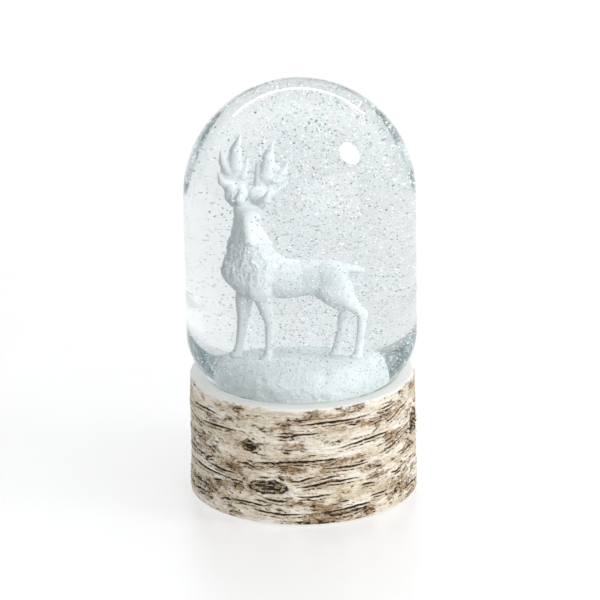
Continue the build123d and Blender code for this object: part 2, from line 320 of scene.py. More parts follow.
def bark_relief(points):
    """Depth in mm and stain from 0 to 1 for points on the outside wall, in mm."""
    turn = np.degrees(np.arctan2(points[:, 0], -points[:, 1]))
    height = points[:, 2]
    around = np.radians(1) * 48.0
    warp = noise_at(points, (0.30, 0.30, 0.35), 4)
    fine = noise_at(points + 31.7, (0.9, 0.9, 1.6), 3)
    relief = 0.08 + 0.30 * noise_at(points + 11.0, (0.03, 0.03, 0.05), 3)
    sheets = noise_at(points + warp[:, None] * np.array([1.6, 1.6, 1.1]), (0.060, 0.060, 0.17), 5)
    sheets += 0.10 * fine
    peeled = smooth(0.13, 0.31, sheets)
    deep = smooth(0.46, 0.58, sheets)
    edge = np.exp(-((sheets - 0.16) / 0.05) ** 2)
    streaks = noise_at(points + 5.3, (0.05, 0.05, 1.0), 3)
    relief += 0.20 * edge - 0.40 * peeled - 0.3 * deep + 0.05 * fine - 0.06 * smooth(0.05, 0.55, streaks)
    stain = 0.03 + 0.14 * smooth(-0.1, 0.6, streaks)
    stain += peeled * (0.31 + 0.10 * fine + 0.08 * smooth(0.0, 0.3, streaks)) + 0.12 * deep
    for crack_turn, crack_height, length, depth, slope in cracks:
        along = ((turn - crack_turn + 180) % 360 - 180) * around
        share = along / length
        near = np.abs(share) < 1.05
        if not near.any():
            continue
        taper = np.clip(1 - share[near] ** 2, 0, 1) ** 0.5
        wave = 0.24 * warp[near] + 0.4 * np.sin(share[near] * 2.3 + crack_turn)
        wander = crack_height + slope * along[near] + wave
        for offset, strength in ((0, 1.0), (-1.25 - 0.3 * depth, 0.55), (1.5 + 0.4 * depth, 0.30)):
            ragged = smooth(-0.35, 0.15, fine[near] + 0.4 * warp[near] + 1.3 * strength - 0.55)
            width = (0.17 + 0.14 * depth) * strength * taper + 0.08
            off = (height[near] - wander - offset) / width
            cut = np.exp(-off ** 2) * taper * ragged
            lip = np.exp(-((np.abs(off) - 2.2) / 0.8) ** 2) * taper * ragged
            relief[near] += strength * depth * (0.28 * lip - cut)
            stain[near] = np.maximum(stain[near] * (1 - 0.7 * lip), (0.7 + 0.8 * strength) * cut)
    for knot_turn, knot_height, length, tall, depth in knots:
        along = ((turn - knot_turn + 180) % 360 - 180) * around + 1.0 * warp
        reach = np.sqrt((along / length) ** 2 + ((height - knot_height + 0.6 * warp) / tall) ** 2)
        hole = 1 - smooth(0.60, 0.95, reach)
        rim = np.exp(-((reach - 1.13) / 0.15) ** 2)
        relief += -depth * hole + 0.75 * depth * rim * smooth(-0.5, 0.3, fine + warp)
        stain = np.maximum(stain, hole * (0.58 + 0.36 * smooth(-0.2, 0.3, streaks)))
        stain = np.maximum(stain, np.exp(-((reach - 0.88) / 0.08) ** 2))
        stain *= 1 - 0.9 * np.exp(-((reach - 1.16) / 0.12) ** 2)
        stain = np.maximum(stain, 0.7 * np.exp(-((reach - 1.38) / 0.09) ** 2) * smooth(0.0, 0.3, warp))
    for dash_turn, dash_height, length, slope in dashes:
        along = ((turn - dash_turn + 180) % 360 - 180) * around
        near = (np.abs(along) < length) & (np.abs(height - dash_height) < 2.0)
        if not near.any():
            continue
        taper = np.sqrt(np.clip(1 - (along[near] / length) ** 2, 0, 1))
        off = (height[near] - dash_height - slope * along[near] - 0.4 * warp[near]) / (0.22 * taper + 0.06)
        mark = np.exp(-off ** 2) * taper
        relief[near] -= 0.22 * mark
        stain[near] = np.maximum(stain[near], (0.55 + 0.65 * math.sin(dash_turn * 3.1) ** 2) * mark)
    return relief, np.clip(stain, 0, 1)


count = len(base.data.vertices)
places = np.empty(count * 3)
base.data.vertices.foreach_get("co", places)
places = places.reshape(-1, 3) / mm
radii = np.hypot(places[:, 0], places[:, 1])
between = (places[:, 2] > foot_z / mm + 0.05) & (places[:, 2] < top_z / mm - 0.05)
outside = between & (radii > top_radius / mm - 0.9)
depth, stain = bark_relief(places[outside])
heights = places[outside, 2]
fade = smooth(0.0, 1.6, heights - foot_z / mm) * smooth(0.0, 1.2, top_z / mm - heights)
rim_wave = noise_at(places[outside], (0.25, 0.25, 0.25), 4)
bare_rim = smooth(-0.05, 0.20, top_z / mm - heights - 0.7 - 1.5 * rim_wave)
depth = depth * fade
stain = stain * bare_rim
grow = 1 + depth / radii[outside]
places[outside, 0] *= grow
places[outside, 1] *= grow
base.data.vertices.foreach_set("co", (places * mm).ravel())
stain_all = np.zeros(count)
stain_all[outside] = stain
seat_all = (radii < seat_radius) & (places[:, 2] > 48.0)
bark_all = np.zeros(count)
bark_all[outside] = bare_rim
for name, values in (("stain", stain_all), ("seat", seat_all), ("bark", bark_all)):
    layer = base.data.attributes.new(name, "FLOAT", "POINT")
    layer.data.foreach_set("value", values.astype(np.float32))
base.data.update()

# Cast resin in two paints: cream brushed over the bark, brown rubbed into the cracks and wiped off.
birch = new_material("cast_resin_birch_paint")
place = add(birch, "ShaderNodeTexCoord")
stain_read = add(birch, "ShaderNodeAttribute", {"attribute_name": "stain"})
bark_read = add(birch, "ShaderNodeAttribute", {"attribute_name": "bark"})
seat_read = add(birch, "ShaderNodeAttribute", {"attribute_name": "seat"})
stretch = add(birch, "ShaderNodeMapping", {"Scale": (1, 1, 2.6)}, {"Vector": place.outputs["Object"]})
lines = add(birch, "ShaderNodeMapping", {"Scale": (1, 1, 16)}, {"Vector": place.outputs["Object"]})
crumble = add(birch, "ShaderNodeTexNoise", {"Scale": 330, "Detail": 8, "Roughness": 0.66, "Distortion": 0.9},
              {"Vector": stretch.outputs[0]})
hairline = add(birch, "ShaderNodeTexNoise", {"Scale": 130, "Detail": 5, "Roughness": 0.6},
               {"Vector": lines.outputs[0]})
cloud = add(birch, "ShaderNodeTexNoise", {"Scale": 55, "Detail": 4}, {"Vector": stretch.outputs[0]})
speck = add(birch, "ShaderNodeTexNoise", {"Scale": 1500, "Detail": 3}, {"Vector": place.outputs["Object"]})
broken = add(birch, "ShaderNodeMapRange",
             {"From Min": 0.32, "From Max": 0.68, "To Min": -0.24, "To Max": 0.24},
             {"Value": crumble.outputs[0]})
lined = add(birch, "ShaderNodeMapRange", {"From Min": 0.42, "From Max": 0.72, "To Min": 0.0, "To Max": 0.15},
            {"Value": hairline.outputs[0]})
rough_share = add(birch, "ShaderNodeMapRange", {"From Max": 0.4, "To Min": 0.45, "To Max": 1.7},
                  {"Value": stain_read.outputs["Fac"]})
torn = multiply(birch, broken.outputs[0], rough_share.outputs[0])
surface = add(birch, "ShaderNodeMath", {"operation": "ADD"}, {0: torn.outputs[0], 1: lined.outputs[0]})
on_bark = multiply(birch, surface.outputs[0], bark_read.outputs["Fac"])
soaked = add(birch, "ShaderNodeMath", {"operation": "ADD", "use_clamp": True},
             {0: stain_read.outputs["Fac"], 1: on_bark.outputs[0]})

# Thin curled lines where flakes of bark have lifted, only in the weathered parts.
curl = add(birch, "ShaderNodeTexNoise", {"Scale": 210, "Detail": 6, "Roughness": 0.6, "Distortion": 0.9},
           {"Vector": stretch.outputs[0]})
curl_off = add(birch, "ShaderNodeMath", {"operation": "SUBTRACT", 1: 0.5}, {0: curl.outputs[0]})
curl_near = add(birch, "ShaderNodeMath", {"operation": "ABSOLUTE"}, {0: curl_off.outputs[0]})
curl_line = add(birch, "ShaderNodeMapRange", {"From Max": 0.032, "To Min": 0.85, "To Max": 0.0},
                {"Value": curl_near.outputs[0]})
weathered = add(birch, "ShaderNodeMapRange", {"From Min": 0.53, "From Max": 0.63},
                {"Value": cloud.outputs[0]})
curl_part = multiply(birch, curl_line.outputs[0], weathered.outputs[0])
curl_mark = multiply(birch, curl_part.outputs[0], bark_read.outputs["Fac"])
wash_and_painted_shade = add(birch, "ShaderNodeMath", {"operation": "MAXIMUM"}, {0: soaked.outputs[0], 1: curl_mark.outputs[0]})


def ramp(material, source, stops):
    """Colour ramp from positions and hex codes, read by a value socket."""
    node = add(material, "ShaderNodeValToRGB", links={"Fac": source})
    elements = node.color_ramp.elements
    elements[0].position = stops[0][0]
    elements[0].color = colour(stops[0][1])
    elements[1].position = stops[-1][0]
    elements[1].color = colour(stops[-1][1])
    for stop, code in stops[1:-1]:
        elements.new(stop).color = colour(code)
    return node


# Cream plates, then the white lip of a torn edge, its dark outline, the tan layer and the crack.
paint = ramp(birch, wash_and_painted_shade.outputs[0], [
    (0.0, "#ECE8DF"), (0.12, "#DDD4C2"), (0.21, "#B8A685"), (0.25, "#F6F4F0"), (0.31, "#F6F4F0"),
    (0.33, "#22170F"), (0.375, "#3A281B"), (0.41, "#B89C76"), (0.50, "#CBB592"), (0.60, "#9A7B55"),
    (0.65, "#46301F"), (0.72, "#110C09")])
warmth = add(birch, "ShaderNodeMapRange", {"From Min": 0.40, "From Max": 0.70}, {"Value": cloud.outputs[0]})
tanned = add(birch, "ShaderNodeMix", {"data_type": "RGBA", "blend_type": "MULTIPLY", 7: colour("#E2D5BD")},
             {0: warmth.outputs[0], 6: paint.outputs[0]})
rim_paint = add(birch, "ShaderNodeMix", {"data_type": "RGBA", 6: colour("#E6E5E1")},
                {0: bark_read.outputs["Fac"], 7: tanned.outputs[2]})
# The seat under the glass is grey-green: painted shade for the narrow gap where the glass sits, seen through
# the glass's lower bend.
whole = add(birch, "ShaderNodeMix", {"data_type": "RGBA", 7: colour("#C4CFCC")},
            {0: seat_read.outputs["Fac"], 6: rim_paint.outputs[2]})
bump = add(birch, "ShaderNodeBump", {"Strength": 0.7, "Distance": 0.0005, "invert": True},
           {"Height": wash_and_painted_shade.outputs[0]})
fine_bump = add(birch, "ShaderNodeBump", {"Strength": 0.25, "Distance": 0.00012},
                {"Height": speck.outputs[0], "Normal": bump.outputs[0]})
sheen = add(birch, "ShaderNodeMapRange", {"To Min": 0.42, "To Max": 0.75}, {"Value": crumble.outputs[0]})
birch_shader = add(birch, "ShaderNodeBsdfPrincipled", {"IOR": 1.5},
                   {"Base Color": whole.outputs[2], "Roughness": sheen.outputs[0],
                    "Normal": fine_bump.outputs[0]})
add(birch, "ShaderNodeOutputMaterial", links={"Surface": birch_shader.outputs[0]})
base.data.materials.append(birch)
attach(base, "root")
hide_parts("base_shell")

# ---------------------------------------------------------------------------------------------
# Snow mound: cast in white resin on the stopper, with a soft lumpy top and a steep rough side.
mound_low, mound_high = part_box("snow_mound")
mound_radius = 0.975 * mound_high[0]
mound_top_z = mound_high[2]
mound_profile = [(0.2 * mm, mound_low[2]), (mound_radius - 0.5 * mm, mound_low[2])]
mound_rows = 92
mound_rise = mound_top_z - mound_low[2]
for step in range(mound_rows + 1):
    turn = math.radians(90) * (step / mound_rows) ** 0.85
    across = math.cos(turn) ** 0.30
    up = math.sin(turn) ** 0.75
    mound_profile.append((mound_radius * max(across, 0.007), mound_low[2] + mound_rise * up))


def fill_ends(piece, smooth_angle):
    """Close the open rings of a turned piece and smooth it up to an angle in degrees."""
    bpy.context.view_layer.objects.active = piece
    bpy.ops.object.mode_set(mode="EDIT")
    bpy.ops.mesh.select_all(action="DESELECT")
    bpy.ops.mesh.select_non_manifold()
    bpy.ops.mesh.fill_holes(sides=0)
    bpy.ops.mesh.select_all(action="SELECT")
    bpy.ops.mesh.normals_make_consistent(inside=False)
    bpy.ops.object.mode_set(mode="OBJECT")
    bpy.ops.object.shade_smooth_by_angle(angle=math.radians(smooth_angle))


mound = turned("snow_mound_cast", mound_profile, 360)
fill_ends(mound, 60)


def read_points(piece):
    values = np.empty(len(piece.data.vertices) * 3)
    piece.data.vertices.foreach_get("co", values)
    return values.reshape(-1, 3) / mm


def write_points(piece, points):
    piece.data.vertices.foreach_set("co", (points * mm).ravel())
    piece.data.update()


def read_normals(piece):
    values = np.empty(len(piece.data.vertices) * 3)
    piece.data.vertex_normals.foreach_get("vector", values)
    return values.reshape(-1, 3)


points = read_points(mound)
radius = np.hypot(points[:, 0], points[:, 1])
swirl = noise_at(points, (0.07, 0.07, 0.07), 2)
lumps = noise_at(points + swirl[:, None] * 6, (0.12, 0.12, 0.16), 4)
crumbs = noise_at(points + 9.0, (1.0, 1.0, 1.0), 3)
upper = smooth(52.3, 54.5, points[:, 2])
side = smooth(0.72, 0.95, radius / (mound_radius / mm))
push = upper * (0.40 + 0.75 * side) * (0.75 * lumps - 0.10) + upper * 0.20 * crumbs
points += read_normals(mound) * push[:, None]
write_points(mound, points)

snow = new_material("cast_resin_snow_glitter")
place = add(snow, "ShaderNodeTexCoord")
grit = add(snow, "ShaderNodeTexVoronoi", {"Scale": 4200}, {"Vector": place.outputs["Object"]})
coarse = add(snow, "ShaderNodeTexNoise", {"Scale": 700, "Detail": 4}, {"Vector": place.outputs["Object"]})
snow_tone = add(snow, "ShaderNodeValToRGB", links={"Fac": grit.outputs["Color"]})
snow_tone.color_ramp.elements[0].color = colour("#EFF6F7")
snow_tone.color_ramp.elements[1].color = colour("#FFFFFF")
snow_bump = add(snow, "ShaderNodeBump", {"Strength": 0.6, "Distance": 0.0003},
                {"Height": grit.outputs["Distance"]})
snow_bump_two = add(snow, "ShaderNodeBump", {"Strength": 0.6, "Distance": 0.0006},
                    {"Height": coarse.outputs[0], "Normal": snow_bump.outputs[0]})
snow_shader = add(snow, "ShaderNodeBsdfPrincipled", {"Roughness": 0.45, "IOR": 1.45},
                  {"Base Color": snow_tone.outputs[0], "Normal": snow_bump_two.outputs[0]})
add(snow, "ShaderNodeOutputMaterial", links={"Surface": snow_shader.outputs[0]})
mound.data.materials.append(snow)
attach(mound, "root")
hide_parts("snow_mound")

# ---------------------------------------------------------------------------------------------
# Stag: one cast resin figure, painted matt white, standing along X with its head turned to the
# front. The body is built up from rounded masses, run together, then tooled with a winter coat.


def ball(centre, radii, turn=(0, 0, 0)):
    """Rounded mass: centre and half-axes in mm, turn in degrees."""
    bpy.ops.mesh.primitive_uv_sphere_add(
        segments=32, ring_count=18, radius=mm,
        location=[c * mm for c in centre], rotation=[math.radians(t) for t in turn], scale=radii)
    bpy.ops.object.transform_apply(location=True, rotation=True, scale=True)
    return bpy.context.object


def limb(points, radii):
    """Tapered run of cones with a ball at every point, in mm."""
    made = []
    for start, end, first, last in zip(points, points[1:], radii, radii[1:]):
        run = Vector(end) - Vector(start)
        turn = run.to_track_quat("Z", "Y").to_euler()
        bpy.ops.mesh.primitive_cone_add(
            vertices=24, radius1=first * mm, radius2=last * mm, depth=run.length * mm,
            location=(Vector(start) + Vector(end)) / 2 * mm, rotation=turn)
        bpy.ops.object.transform_apply(location=True, rotation=True, scale=True)
        made.append(bpy.context.object)
    made += [ball(point, (radius, radius, radius)) for point, radius in zip(points, radii)]
    return made


def run_together(name, masses, voxel, passes):
    """Join masses into one skin and smooth out where they met."""
    deselect()
    for mass in masses:
        mass.select_set(True)
    bpy.context.view_layer.objects.active = masses[0]
    bpy.ops.object.join()
    piece = bpy.context.object
    piece.name = name
    remesh = piece.modifiers.new("skin", "REMESH")
    remesh.mode = "VOXEL"
    remesh.voxel_size = voxel * mm
    bpy.ops.object.modifier_apply(modifier="skin")
    relax = piece.modifiers.new("relax", "SMOOTH")
    relax.factor = 0.5
    relax.iterations = passes
    bpy.ops.object.modifier_apply(modifier="relax")
    bpy.ops.object.shade_smooth()
    return piece


hoof_z = mound_top_z / mm - 0.6
head_x = -16.8
deselect()
masses = [
    ball((-14.0, 0, 101.6), (9.6, 8.2, 10.6)),
    ball((-19.6, -0.5, 105.0), (5.6, 6.4, 9.0), (0, 8, 0)),
    ball((-5.0, 0, 100.6), (12.0, 7.7, 8.8)),
    ball((3.0, 0, 100.9), (9.6, 7.0, 8.0)),
    ball((8.2, 0, 101.4), (7.2, 7.0, 7.2)),
    ball((-10.8, 0, 107.8), (7.0, 4.6, 5.4), (0, 24, 0)),
    ball((-14.2, -4.6, 100.0), (5.4, 3.8, 9.4), (0, -6, 0)),
    ball((-15.0, 4.6, 100.0), (5.4, 3.8, 9.4), (0, -6, 0)),
    ball((10.6, -3.4, 96.6), (6.0, 3.8, 8.6), (0, -28, 0)),
    ball((7.6, 3.6, 96.8), (5.4, 3.6, 8.2), (0, -12, 0)),
]
neck = [(-15.4, 0, 107.0), (-15.8, 0, 114.5), (-16.6, 0, 121.5), (head_x, 0, 127.5)]
masses += limb(neck, [8.6, 7.2, 5.2, 4.2])

# Legs from shoulder or hip to fetlock: the far one and the near one, in front and behind.
legs = [
    ([(-16.0, 2.2, 96.0), (-17.8, 2.6, 90.0), (-18.3, 2.8, 80.6), (-19.3, 2.9, 70.0), (-20.0, 2.9, 66.0)],
     [4.4, 2.9, 1.75, 1.35, 1.6]),
    ([(-12.6, -2.4, 96.0), (-11.8, -2.8, 89.5), (-10.2, -3.0, 81.0), (-10.5, -3.0, 70.0),
      (-11.1, -3.0, 66.5)], [4.4, 2.9, 1.75, 1.35, 1.6]),
    ([(7.6, 3.0, 97.0), (9.4, 3.0, 90.6), (13.4, 3.0, 85.0), (12.2, 3.0, 76.0), (10.6, 3.0, 66.5)],
     [4.6, 3.2, 1.9, 1.4, 1.6]),
    ([(11.4, -2.6, 97.0), (15.0, -2.6, 90.0), (19.8, -2.6, 83.8), (19.2, -2.6, 76.0),
      (18.2, -2.6, 66.0)], [4.6, 3.1, 1.9, 1.4, 1.6]),
]
for points, radii in legs:
    masses += limb(points, radii)
for hoof_x, hoof_y in ((-20.6, 2.9), (-11.7, -3.0), (10.1, 3.0), (17.5, -2.6)):
    masses.append(ball((hoof_x, hoof_y, hoof_z + 0.4), (2.3, 1.9, 1.9)))
masses += limb([(10.6, 0, 104.4), (14.5, 0, 104.2), (18.4, 0, 103.4), (21.0, 0, 102.3)], [2.8, 2.3, 1.5, 0.5])
head = [(head_x, 0.6, 128.4), (head_x - 0.2, -4.2, 126.8), (head_x - 0.6, -8.6, 122.6),
        (head_x - 0.8, -11.8, 119.8)]
masses += limb(head, [4.4, 3.9, 2.5, 1.9])
masses.append(ball((head_x - 0.8, -12.9, 119.7), (1.9, 1.3, 1.5)))
masses.append(ball((head_x, -0.6, 130.2), (3.8, 3.6, 2.4)))
masses.append(ball((head_x - 0.4, -3.4, 130.3), (4.9, 2.9, 1.9), (-24, 0, 0)))
for side in (-1, 1):
    masses.append(ball((head_x + 2.9 * side, -5.0, 127.4), (1.2, 1.6, 1.1), (0, 0, 20 * side)))
    masses.append(ball((head_x + 3.4 * side, -3.2, 129.2), (1.3, 1.8, 1.0)))
    masses.append(ball((head_x + 3.9 * side, 2.8, 130.6), (2.2, 0.8, 1.2), (0, -38 * side, 24 * side)))
deer = run_together("deer_body_cast", masses, 0.34, 10)


def painted_grey_shade(piece, patches):
    """Painted shade, as an attribute: pale grey on faces turned left and on faces turned down, away from the
    light, and in soft patches at given spots.
    """
    points = read_points(piece)
    normals = read_normals(piece)
    amount = 0.85 * smooth(0.30, 0.85, -normals[:, 0]) + 0.45 * smooth(0.15, 0.85, -normals[:, 2])
    for spot, reach, share in patches:
        off = (points - spot) / reach
        amount += share * np.exp(-np.sum(off ** 2, axis=1))
    layer = piece.data.attributes.new("wash_and_painted_shade", "FLOAT", "POINT")
    layer.data.foreach_set("value", np.clip(amount, 0, 1).astype(np.float32))


points = read_points(deer)
normals = read_normals(deer)
stands = points[:, 2]
ruff = smooth(97.0, 103.0, stands) * smooth(124.0, 116.0, stands) * smooth(-5.0, -13.0, points[:, 0])
coat = smooth(86.0, 94.0, stands) * smooth(128.0, 120.0, stands)
sway = noise_at(points, (0.25, 0.25, 0.25), 2)
locks = noise_at(points + sway[:, None] * 1.8, (0.80, 0.80, 0.17), 3)
hairs = noise_at(points + sway[:, None] + 4.0, (1.7, 1.7, 0.30), 2)
push = ruff * (0.62 * locks + 0.30 * hairs) + coat * (0.14 * locks + 0.10 * hairs)
for side in (-1, 1):
    from_eye = np.linalg.norm(points - (head_x - 0.3 + 3.0 * side, -6.2, 126.6), axis=1)
    push -= 1.1 * np.exp(-(from_eye / 1.2) ** 2)
points += normals * push[:, None]
write_points(deer, points)
# Painted shade on the left and lower faces of the stag, with patches of it on the hip and under the brow.
painted_grey_shade(deer, [((7.5, -4.0, 102.0), (8.0, 8.0, 5.5), 0.85), ((head_x, -4.5, 130.6), (6.0, 3.5, 2.0), 0.60)])

plaster = new_material("cast_resin_matt_white")
place = add(plaster, "ShaderNodeTexCoord")
mottle = add(plaster, "ShaderNodeTexNoise", {"Scale": 260, "Detail": 4}, {"Vector": place.outputs["Object"]})
hair_map = add(plaster, "ShaderNodeMapping", {"Scale": (1, 1, 0.25)}, {"Vector": place.outputs["Object"]})
hair = add(plaster, "ShaderNodeTexNoise", {"Scale": 3200, "Detail": 4}, {"Vector": hair_map.outputs[0]})
white = add(plaster, "ShaderNodeMix", {"data_type": "RGBA", 6: colour("#F2F5F6"), 7: colour("#FBFCFD")},
            {0: mottle.outputs[0]})
# The painted shade attribute darkens the white to pale grey.
wash_and_painted_shade = add(plaster, "ShaderNodeAttribute", {"attribute_name": "wash_and_painted_shade"})
painted_shade_tone = add(plaster, "ShaderNodeMix", {"data_type": "RGBA", "blend_type": "MULTIPLY", 7: colour("#DADDDF")},
             {0: wash_and_painted_shade.outputs["Fac"], 6: white.outputs[2]})
hair_bump = add(plaster, "ShaderNodeBump", {"Strength": 0.5, "Distance": 0.0003}, {"Height": hair.outputs[0]})
plaster_shader = add(plaster, "ShaderNodeBsdfPrincipled", {"Roughness": 0.55, "IOR": 1.5},
                     {"Base Color": painted_shade_tone.outputs[2], "Normal": hair_bump.outputs[0]})
add(plaster, "ShaderNodeOutputMaterial", links={"Surface": plaster_shader.outputs[0]})
deer.data.materials.append(plaster)
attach(deer, "root")
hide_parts("deer_body")

# ---------------------------------------------------------------------------------------------
# Antlers: two castings pegged into the head. Each is a broad shallow palm that opens upwards into
# thick pointed tines, with a short brow tine that curls up in front of the forehead.


def antler(name, node, palms, tines):
    """Flattened palms and the tines that grow from them, all in mm."""
    deselect()
    masses = [ball(centre, radii, turn) for centre, radii, turn in palms]
    for points, radii in tines:
        masses += limb(points, radii)
    piece = run_together(name, masses, 0.26, 5)
    # Painted shade on the left and lower faces, with a patch of it under the bowl of the palms.
    painted_grey_shade(piece, [((head_x, -3.0, 131.5), (7.0, 5.0, 2.5), 0.60)])
    piece.data.materials.append(plaster)
    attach(piece, "root")
    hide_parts(node)
    return piece


left_palms = [
    ((-21.8, 1.4, 140.6), (4.3, 1.2, 7.2), (8, -6, 0)),
    ((-20.6, -0.4, 134.6), (4.1, 1.6, 3.5), (-16, -24, 0)),
    ((-18.6, 1.4, 139.0), (3.0, 1.1, 5.6), (0, 6, 0)),
]
left_tines = [
    ([(-18.6, -0.4, 130.4), (-20.4, 0.2, 132.8), (-22.4, 0.8, 136.4)], [2.0, 2.2, 2.3]),
    ([(-23.0, 1.0, 137.2), (-25.4, 1.0, 138.6), (-27.1, 0.6, 141.8)], [1.9, 1.4, 0.3]),
    ([(-23.4, 1.2, 142.6), (-25.4, 1.2, 145.6), (-26.7, 0.8, 149.9)], [2.1, 1.6, 0.35]),
    ([(-21.4, 1.2, 144.0), (-21.2, 1.0, 149.6), (-20.1, 0.6, 155.5)], [2.5, 2.2, 0.4]),
    ([(-18.4, 1.4, 140.4), (-17.3, 1.4, 144.4), (-17.0, 1.2, 148.0)], [1.7, 1.1, 0.3]),
    ([(-19.6, -2.6, 131.6), (-20.4, -5.0, 134.4), (-19.8, -5.8, 138.4)], [2.2, 1.5, 0.3]),
    ([(-21.4, -1.8, 132.4), (-22.4, -3.8, 134.0), (-22.6, -4.4, 136.0)], [1.8, 1.1, 0.3]),
]
right_palms = [
    ((-10.2, 1.4, 138.8), (4.6, 1.2, 6.6), (8, 10, 0)),
    ((-12.8, -0.4, 133.8), (3.9, 1.6, 3.3), (-16, 26, 0)),
    ((-7.4, 1.2, 137.4), (3.2, 1.1, 4.0), (0, 30, 0)),
]
right_tines = [
    ([(-15.0, -0.4, 130.4), (-12.6, 0.2, 132.0), (-9.4, 0.8, 134.6)], [1.9, 2.1, 2.1]),
    ([(-10.8, 1.2, 140.4), (-10.0, 1.0, 146.6), (-8.9, 0.6, 151.8)], [2.5, 2.2, 0.4]),
    ([(-7.6, 1.2, 138.4), (-5.2, 1.2, 141.8), (-3.6, 0.8, 145.4)], [2.1, 1.6, 0.3]),
    ([(-7.4, 1.0, 135.4), (-5.2, 1.0, 136.8), (-3.4, 0.6, 139.8)], [1.6, 1.1, 0.3]),
    ([(-13.0, 1.4, 137.0), (-13.2, 1.4, 142.0), (-13.9, 1.2, 146.6)], [1.8, 1.3, 0.3]),
    ([(-13.4, -2.6, 131.6), (-11.2, -5.0, 133.8), (-10.2, -5.8, 137.4)], [2.2, 1.6, 0.3]),
]
antler("antler_left_cast", "antler_left", left_palms, left_tines)
antler("antler_right_cast", "antler_right", right_palms, right_tines)

# ---------------------------------------------------------------------------------------------
# Flakes: thousands of tiny squares cut from pearl film. Most drift in the liquid, sinking
# nearly flat; the rest have settled on the mound and in the trough round it.
bpy.ops.object.select_all(action="DESELECT")
bpy.ops.mesh.primitive_cylinder_add(vertices=4, radius=0.5 * mm, depth=0.05 * mm)
flake = bpy.context.object
flake_points = read_points(flake)
flake_faces = [list(polygon.vertices) for polygon in flake.data.polygons]
bpy.data.objects.remove(flake)
glass_low, glass_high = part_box("glass_globe")
inner_radius = (glass_high[0] - 3.0 * mm) / mm
dome_z = dome_centre[2] / mm
flake_rng = random.Random(21)


def scattered(name, node, spots, sizes, tilt):
    """One mesh of flakes, each tilted its own way; spots and sizes in mm, tilt in degrees."""
    verts = []
    faces = []
    tints = []
    for number, (spot, size) in enumerate(zip(spots, sizes)):
        lean = Quaternion((1, 0, 0), math.radians(flake_rng.gauss(0, tilt)))
        roll = Quaternion((0, 1, 0), math.radians(flake_rng.gauss(0, tilt)))
        spin = Quaternion((0, 0, 1), flake_rng.uniform(0, math.tau))
        matrix = np.array((lean @ roll @ spin).to_matrix())
        verts.append((flake_points * size) @ matrix.T + spot)
        faces += [[vertex + 8 * number for vertex in face] for face in flake_faces]
        tints += [flake_rng.random()] * 8
    mesh = bpy.data.meshes.new(name)
    mesh.from_pydata(np.concatenate(verts) * mm, [], faces)
    layer = mesh.attributes.new("tint", "FLOAT", "POINT")
    layer.data.foreach_set("value", np.array(tints, dtype=np.float32))
    piece = bpy.data.objects.new(name, mesh)
    bpy.context.scene.collection.objects.link(piece)
    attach(piece, "root")
    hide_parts(node)
    return piece


deer_points = read_points(deer)[::6]
drifting_count = 15_000
wall_gap = 2.5
spots = []
while len(spots) < drifting_count:
    x = flake_rng.uniform(-inner_radius, inner_radius)
    y = flake_rng.uniform(-inner_radius, inner_radius)
    z = flake_rng.uniform(56, dome_z + inner_radius)
    if math.hypot(x, y) > inner_radius - wall_gap:
        continue
    if z > dome_z and math.hypot(x, y, z - dome_z) > inner_radius - wall_gap:
        continue
    if z < 65.5 and math.hypot(x, y) < 29.5:
        continue
    if z < shoulder_z and math.hypot(max(math.hypot(x, y) - shoulder_reach, 0), shoulder_z - z) > 21:
        continue
    keep = 0.10 + 0.90 * float(smooth(-34, -6, np.float64(x)))
    keep *= 1.0 - 0.45 * float(smooth(150, 182, np.float64(z)))
    if flake_rng.random() > keep:
        continue
    if np.min(np.sum((deer_points - (x, y, z)) ** 2, axis=1)) < 0.8:
        continue
    spots.append((x, y, z))
drifting = scattered("floating_flakes_cloud", "floating_flakes", spots,
                     [flake_rng.uniform(0.38, 0.85) for _ in spots], 26)

film = new_material("pearl_film_punched")
tint = add(film, "ShaderNodeAttribute", {"attribute_name": "tint"})
film_tone = ramp(film, tint.outputs["Fac"], [
    (0.0, "#FFFFFF"), (0.42, "#EDF2F3"), (0.58, "#B9C5C6"), (0.76, "#8E9C9C"), (0.94, "#B4D3DB"),
    (0.98, "#E0CCD4")])
film_tone.color_ramp.interpolation = "CONSTANT"
# The whitest flakes glow faintly: a painted highlight, since the film gives no light of its own.
glow = add(film, "ShaderNodeMapRange", {"From Min": 0.40, "From Max": 0.50, "To Min": 0.15, "To Max": 0.0},
           {"Value": tint.outputs["Fac"]})
film_shader = add(film, "ShaderNodeBsdfPrincipled",
                  {"Roughness": 0.25, "IOR": 1.6, "Thin Film Thickness": 420.0, "Thin Film IOR": 1.35},
                  {"Base Color": film_tone.outputs[0], "Emission Color": film_tone.outputs[0],
                   "Emission Strength": glow.outputs[0]})
add(film, "ShaderNodeOutputMaterial", links={"Surface": film_shader.outputs[0]})
drifting.data.materials.append(film)

mound_points = read_points(mound)
mound_normals = read_normals(mound)
exposed = [number for number, point in enumerate(mound_points) if point[2] > 53.2]
mound_count = 7_000
settled_count = 13_000
resting = []
for number in flake_rng.choices(exposed, k=mound_count):
    loose = [flake_rng.uniform(-0.6, 0.6), flake_rng.uniform(-0.6, 0.6), flake_rng.uniform(-0.05, 0.1)]
    resting.append(mound_points[number] + 0.12 * mound_normals[number] + np.array(loose))
while len(resting) < settled_count:
    turn = flake_rng.uniform(0, math.tau)
    radius = flake_rng.uniform(28.6, 39.0)
    floor_z = max(52.2, shoulder_z - math.sqrt(max(21.6 ** 2 - (radius - shoulder_reach) ** 2, 0)))
    height = flake_rng.uniform(floor_z, 55.2)
    if floor_z < 55.0:
        resting.append(np.array([radius * math.cos(turn), radius * math.sin(turn), height]))
settled = scattered("settled_flakes_crust", "settled_flakes", resting,
                    [flake_rng.uniform(0.25, 0.55) for _ in resting], 30)
settled.data.materials.append(film)

